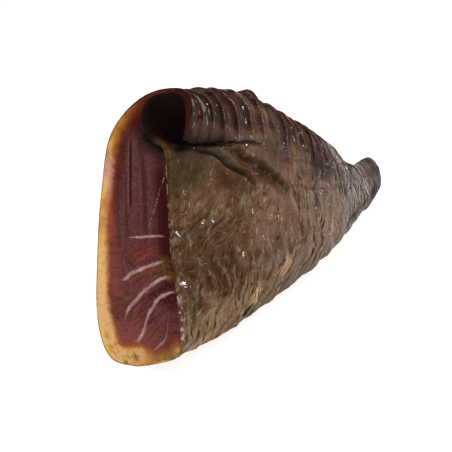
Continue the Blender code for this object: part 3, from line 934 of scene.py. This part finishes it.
    # oil: most of it by the cut, low down and on the crown
    wetter = larger(tree, ease(tree, fromCut, 14.0, 34.0, 1.0, 0.0), ease(tree, up, 30.0, 46.0, 0.6, 0.0))
    wetter = larger(tree, times(tree, wetter, ease(tree, up, 66.0, 76.0, 1.0, 0.0)), flap)
    wetter = plus(tree, ease(tree, up, 62.0, 76.0, 0.72, 0.60), times(tree, wetter, 0.40))
    film = useGroup(tree, oilFilm, {"Place": place, "Size": 4.0, "Level": 0.57})["Film"]
    film = larger(tree, times(tree, film, wetter), patchMask(tree, sidePlace, 18, 115, 12, 4, 0.95))
    film = ease(tree, film, 0.35, 0.65)
    roughness = blend(tree, inHollow, blend(tree, film, look["dry"], look["wet"]), look["inside"])
    coat = times(tree, film, ease(tree, fromCut, 60.0, 170.0, 0.5, 0.1))
    wetEdges = times(tree, edges["Edge"], flap, ease(tree, fromCut, 70.0, 150.0, 0.15, 0.05))
    coat = times(tree, larger(tree, coat, wetEdges), ease(tree, inHollow, 0.0, 0.6, 1.0, 0.0))

    # relief: wrinkled rind, chips and gaps, all of it smooth under the oil
    wrinkles = noiseOf(tree, stretched(tree, place, 0.35, 1.0, 1.0), 0.45, 4.0, 0.6, 0.8)
    wrinkles = times(tree, wrinkles, times(tree, rindMask, 1.8))
    lumps = times(tree, noiseOf(tree, place, 0.25, 2.0), 1.2)
    grain = plus(tree, noiseOf(tree, place, 0.8, 4.0, 0.62), lumps)
    smooth = times(tree, ease(tree, up, 62.0, 82.0, 0.0, 0.6), ease(tree, flap, 0.2, 0.8, 1.0, 0.3))
    grain = times(tree, grain, minus(tree, 1.0, smooth))
    height = plus(tree, wrinkles, times(tree, lights, 0.3), times(tree, chips, 0.4),
                  times(tree, gapTone, -0.5), grain, times(tree, strongEdge, 0.5))
    drops = times(tree, noiseOf(tree, place, 0.14, 0.0), 1.2)
    wireUp(tree, shader, look, paint.colour, roughness, coat, blend(tree, film, height, drops))
    return material


cutLook = {
    "red": tone(97, 49, 44), "plum": tone(82, 50, 48), "rosy": tone(136, 74, 68),
    "strand": tone(114, 68, 64), "brightRed": tone(112, 28, 26), "dusk": tone(58, 20, 20),
    "deepRed": tone(48, 9, 7),
    "crownRed": tone(74, 20, 15), "flapEdge": tone(56, 20, 15), "septum": tone(190, 154, 146),
    # edge is a painted highlight along the cut's edge and on a dotted line of glints; the two darkest tones
    # paint the shade round the hollow's mouth, and pit also one small dark mark low down
    "edge": tone(150, 112, 92), "mouthShade": tone(26, 14, 14), "pit": tone(12, 6, 7), "brown": tone(104, 72, 32),
    "rind": tone(208, 144, 62), "rindPale": tone(230, 184, 126), "rindPink": tone(206, 148, 132),
    "rindInner": tone(142, 64, 38), "rindEnd": tone(132, 88, 46), "rindDeep": tone(166, 84, 44),
    "rindBrown": tone(156, 104, 30), "rindShine": tone(242, 196, 92),
    "dry": 0.52, "wet": 0.12,    # roughness
    "specular": 0.03, "coatRoughness": 0.08, "coatIor": 1.5,
    "bump": 0.8, "bumpDepth": 1.0,
}

# Broad tones of the cut flesh: tone, place across and up, reach across and up, strength
cutPatches = (
    ("rosy", -10.5, 14.0, 8.0, 8.0, 0.75),
    ("rosy", 1.0, 16.0, 9.0, 9.0, 0.60),
    ("rosy", -12.0, 42.0, 4.0, 14.0, 0.40),
    ("rosy", -12.5, 66.0, 3.0, 12.0, 0.50),
    ("dusk", 13.5, 37.0, 8.0, 7.0, 1.0),
    ("dusk", 4.0, 28.0, 5.0, 10.0, 0.45),
    ("brightRed", 4.5, 55.5, 7.0, 4.2, 0.50),
    ("brightRed", -9.5, 84.0, 3.0, 12.0, 0.35),
)

# Small dark or brown marks: tone, place across and up, reach
cutMarks = (
    ("pit", -7.8, 1.6, 1.6),
    ("brown", -3.0, 4.7, 2.2),
    ("brown", 12.8, 50.0, 4.2),
    ("brown", 15.6, 46.5, 3.0),
)

# Thin lines on the cut: place across at the sole, and how far they lean across a millimetre up
splitStrand = {"atSole": -6.3064, "lean": 0.036}
# the second is a dotted line of painted glints
glintTrail = {"atSole": -17.3, "lean": 0.354}


def besideLine(tree, across, up, line):    # signed distance across from one of the thin lines
    return minus(tree, minus(tree, across, line["atSole"]), times(tree, up, line["lean"]))


def cutMaterial():
    look = cutLook
    material, tree, shader = newMaterial("cutFlesh")
    place, across, up, rindLeft = field(tree, "cutPlace")
    _, fromHollow, fromFlesh, fromSkin = field(tree, "cutRims")
    gaps = field(tree, "sheetsHigh")[1:] + field(tree, "sheetsLow")[1:]
    flat = stretched(tree, place, 1.0, 1.0, 0.0)

    # flesh: red below, plum above
    fine = mottled(tree, flat, 1.5, 0.12, 0.54)
    high = plus(tree, up, times(tree, mottled(tree, flat, 9.0, 0.2), 10.0))
    paint = Paint(tree, look, ease(tree, high, 52.0, 84.0), "red", "plum")
    paint.coat(fine, "strand", 0.45)
    paint.patches(flat, cutPatches)

    # muscle layers: fine arcs that follow the middle septum below, straight and upright above
    slide = times(tree, plus(tree, across, up), 0.06)
    arcs = noiseOf(tree, joined(tree, times(tree, gaps[2], 0.8), slide), 1.0, 3.0, 0.6)
    below = ease(tree, up, 54.0, 66.0, 1.0, 0.0)
    paint.coat(times(tree, ease(tree, arcs, 0.52, 0.64, 0.0, 0.45), below), "rosy")
    paint.coat(times(tree, ease(tree, arcs, 0.36, 0.48, 0.4, 0.0), below), "dusk")
    paint.coat(ease(tree, noiseOf(tree, flat, 0.9, 2.0), 0.54, 0.66, 0.0, 0.7), "strand")
    layers = streaked(tree, joined(tree, up, across), 70.0, 3.0, 2.5)
    layerGap = times(tree, layers["Gap"], ease(tree, up, 52.0, 66.0, 0.05, 0.55))
    paint.coat(layerGap, "deepRed")
    layerLight = ease(tree, layers["Height"], 0.58, 0.66)
    paint.coat(times(tree, layerLight, ease(tree, up, 52.0, 66.0, 0.0, 0.22)), "strand")

    # darker towards the flesh side, beside the upper rind and round the crown
    darkSide = times(tree, ease(tree, fromFlesh, 3.0, 9.5, 1.0, 0.0), ease(tree, up, 30.0, 50.0, 0.30, 0.95),
                     ease(tree, up, 88.0, 98.0, 1.0, 0.3))
    paint.coat(darkSide, "deepRed")
    besideRind = ease(tree, rindLeft, -6.5, -1.0)
    paint.coat(times(tree, besideRind, ease(tree, up, 62.0, 84.0, 0.0, 0.75)), "deepRed")
    crownStarts = ease(tree, up, 94.0, 100.0)
    crownBand = larger(tree, ease(tree, up, 103.0, 112.0), ease(tree, across, 18.5, 21.0))
    paint.coat(times(tree, crownBand, crownStarts), "crownRed")
    paint.coat(times(tree, ease(tree, across, 10.0, 20.0), crownStarts), "flapEdge")

    # a strand split off upright with a painted shadow beside it, and a dotted line of painted glints that
    # runs down towards the first septum
    strandAway = besideLine(tree, across, up, splitStrand)
    strandSpan = between(tree, up, 70.0, 76.0, 98.0, 104.0)
    shadow = ease(tree, awayFrom(tree, strandAway, 0.9), 0.3, 1.0, 1.0, 0.0)
    paint.coat(times(tree, shadow, strandSpan), "deepRed")
    strand = ease(tree, awayFrom(tree, strandAway, 0.0), 0.1, 0.6, 0.8, 0.0)
    paint.coat(times(tree, strand, strandSpan), "strand")
    glintAway = awayFrom(tree, besideLine(tree, across, up, glintTrail), 0.0)
    glintDots = times(tree, ease(tree, glintAway, 0.1, 0.65, 0.6, 0.0),
                  between(tree, up, 63.0, 67.0, 89.0, 92.0),
                  ease(tree, noiseOf(tree, flat, 0.85, 1.0), 0.46, 0.58))
    paint.coat(glintDots, "edge")

    white = 0.0
    for gap, (line, thickness) in zip(gaps, septa):
        inputs = {"Gap": gap, "Place": flat, "Thickness": thickness, "From": line[0][0], "To": line[-1][0]}
        white = larger(tree, white, useGroup(tree, septum, inputs)["Mask"])
    uneven = ease(tree, noiseOf(tree, flat, 0.10, 2.0), 0.40, 0.60, 0.50, 0.92)
    paint.coat(times(tree, white, uneven), "septum")
    # painted highlight along the cut's edge where it turns into the flesh side, from halfway up
    rim = times(tree, ease(tree, fromFlesh, 0.1, 0.7, 1.0, 0.0), ease(tree, up, 50.0, 60.0),
                ease(tree, noiseOf(tree, flat, 0.35, 2.0), 0.40, 0.60))
    paint.coat(rim, "edge")

    # rind: pale low down, deeper in the middle, pink above that, brown at the top and the far end
    ragged = noiseOf(tree, flat, 0.3, 3.0)
    rindDepth = plus(tree, rindLeft, swing(tree, ragged, 2.4))
    rindTone = mottled(tree, flat, 6.0, 0.2)
    rindPaint = Paint(tree, look, rindTone, "rind", "rindPale")
    rindPaint.coat(mottled(tree, flat, 2.8, 0.10, 0.58), "rindDeep", 0.5)
    rindPaint.coat(ease(tree, rindDepth, 0.8, 3.6, 0.95, 0.0), "rindDeep")
    rindPaint.coat(between(tree, up, 8.0, 20.0, 46.0, 60.0, 0.7), "rindPale")
    rindPaint.coat(between(tree, up, 52.0, 66.0, 76.0, 84.0, 0.4), "rindDeep")
    rindPaint.coat(between(tree, up, 72.0, 82.0, 88.0, 98.0), "rindPink", 0.8)
    upper = plus(tree, up, times(tree, rindTone, 8.0))
    rindPaint.coat(ease(tree, upper, 92.0, 112.0, 0.0, 0.8), "rindBrown")
    rindPaint.coat(ease(tree, across, -3.0, 12.0, 0.0, 0.9), "rindEnd")
    shine = ease(tree, noiseOf(tree, flat, 0.05, 2.0), 0.44, 0.60)
    rindPaint.coat(times(tree, ease(tree, fromSkin, 0.3, 3.2, 0.6, 0.0), shine), "rindShine")
    paint.coat(ease(tree, rindDepth, -3.4, 1.6, 0.0, 0.75), "rindInner")
    paint.coat(ease(tree, rindDepth, -0.8, 2.8), rindPaint)
    for name, x, y, reach in cutMarks:
        mark = patchMask(tree, flat, x, y, reach, reach, 1.0)
        paint.coat(times(tree, mark, plus(tree, 0.35, times(tree, fine, 0.65))), name)

    # painted shade: the cut darkens to near black round the hollow's mouth, over the scooped flesh
    mouthShade = ease(tree, plus(tree, fromHollow, swing(tree, ragged, 4.0)), 0.0, 9.0, 1.0, 0.0)
    mouthShade = times(tree, mouthShade, ease(tree, across, 14.0, 18.0, 1.0, 0.0),
                  ease(tree, up, 103.0, 112.0, 1.0, 0.3))
    paint.coat(mouthShade, "mouthShade")
    paint.coat(ease(tree, mouthShade, 0.80, 1.0), "pit")

    oil = {"Place": flat, "Size": 2.6, "Dry": look["dry"], "Wet": look["wet"], "Level": 0.62}
    film = useGroup(tree, oilFilm, oil)
    height = plus(tree, noiseOf(tree, flat, 0.6, 3.0, 0.6), times(tree, white, 0.5),
                  times(tree, layerGap, -0.5))
    drops = times(tree, noiseOf(tree, flat, 0.14, 0.0), 2.0)
    height = blend(tree, film["Film"], height, drops)
    coat = times(tree, film["Film"], 0.08)
    wireUp(tree, shader, look, paint.colour, film["Roughness"], coat, height)
    return material


belly.data.materials.append(smokedMaterial())
belly.data.materials.append(cutMaterial())
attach(belly, "root")
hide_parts("tuna_belly")
print("materials on")

studio = {
    "cameraPlace": (-0.49208, -0.23307, 0.20859), "cameraTurn": (71.0, 0.0, -61.0), "lens": 85.0,
    "floorTone": 0.40, "floorGlow": 0.82, "floorBounce": 0.40, "worldStrength": 0.30,
    # name, place, aimed at, width and height in metres, watts, colour
    "lights": (
        ("overhead", (-0.15, -0.05, 1.50), (0.0, 0.0, 0.04), (1.6, 1.6), 13.5, (1.0, 1.0, 1.0)),
        ("front", (-0.75, -0.55, 0.55), (0.0, 0.0, 0.05), (0.35, 0.5), 0.8, (1.0, 0.98, 0.95)),
        ("side", (0.35, -0.85, 0.55), (0.0, 0.0, 0.05), (0.5, 0.5), 0.3, (1.0, 0.99, 0.97)),
        ("high", (-0.42, -0.30, 0.75), (-0.10, 0.0, 0.08), (0.05, 0.05), 1.2, (1.0, 1.0, 1.0)),
        ("glintCrown", (0.62, -0.37, 0.48), (0.0, 0.0, 0.10), (0.16, 0.16), 2.0, (1.0, 1.0, 1.0)),
        ("glintRings", (0.70, -0.45, 0.20), (0.0, 0.0, 0.08), (0.12, 0.12), 1.1, (1.0, 1.0, 1.0)),
        ("glintFlesh", (0.56, -0.62, 0.10), (0.0, 0.0, 0.05), (0.12, 0.12), 1.1, (1.0, 1.0, 1.0)),
        ("glintCut", (-0.80, 0.42, 0.10), (-0.14, 0.0, 0.07), (0.10, 0.10), 0.7, (1.0, 1.0, 1.0)),
        ("cutFill", (-0.90, 0.30, 0.55), (-0.14, 0.0, 0.06), (0.5, 0.5), 1.7, (1.0, 0.99, 0.98)),
        ("back", (0.45, 0.60, 0.75), (0.05, 0.0, 0.07), (0.5, 0.5), 1.4, (0.96, 0.98, 1.0)),
    ),
}


def aim(thing, target):
    away = Vector(target) - thing.location
    thing.rotation_euler = away.to_track_quat("-Z", "Y").to_euler()


def seenOrBounced(tree, seen, bounced):    # one strength for the camera, another for the light given off
    toCamera = newNode(tree, "ShaderNodeLightPath").outputs["Is Camera Ray"]
    return ease(tree, toCamera, 0.0, 1.0, bounced, seen)


def buildStudio():
    scene = bpy.context.scene
    scene.view_settings.view_transform = "Standard"
    scene.view_settings.look = "None"
    mesh = bpy.data.meshes.new("floor")
    reach = 6.0
    corners = [(-reach, -reach, 0), (reach, -reach, 0), (reach, reach, 0), (-reach, reach, 0)]
    mesh.from_pydata(corners, [], [(0, 1, 2, 3)])
    floor = bpy.data.objects.new("floor", mesh)
    scene.collection.objects.link(floor)
    material, tree, shader = newMaterial("floorPaper")
    paper = studio["floorTone"]
    fill(tree, shader, {
        "Base Color": (paper, paper, paper, 1.0), "Roughness": 0.9, "Specular IOR Level": 0.1,
        "Emission Color": (1.0, 1.0, 1.0, 1.0),
        "Emission Strength": seenOrBounced(tree, studio["floorGlow"], studio["floorBounce"]),
    })
    mesh.materials.append(material)

    world = bpy.data.worlds.new("studioWhite")
    world.use_nodes = True
    tree = world.node_tree
    strength = seenOrBounced(tree, 1.0, studio["worldStrength"])
    fill(tree, tree.nodes["Background"].inputs, {"Color": (1, 1, 1, 1), "Strength": strength})
    scene.world = world

    for name, place, target, size, watts, colour in studio["lights"]:
        data = bpy.data.lights.new(name, "AREA")
        data.shape = "RECTANGLE"
        data.size, data.size_y = size
        data.energy = watts
        data.color = colour
        lamp = bpy.data.objects.new(name, data)
        lamp.location = place
        aim(lamp, target)
        scene.collection.objects.link(lamp)

    camera = bpy.data.objects.new("camera", bpy.data.cameras.new("camera"))
    camera.data.lens = studio["lens"]
    camera.data.sensor_width = 36.0
    camera.location = studio["cameraPlace"]
    camera.rotation_euler = [math.radians(a) for a in studio["cameraTurn"]]
    scene.collection.objects.link(camera)
    scene.camera = camera


buildStudio()
print("studio built")

bpy.context.view_layer.update()
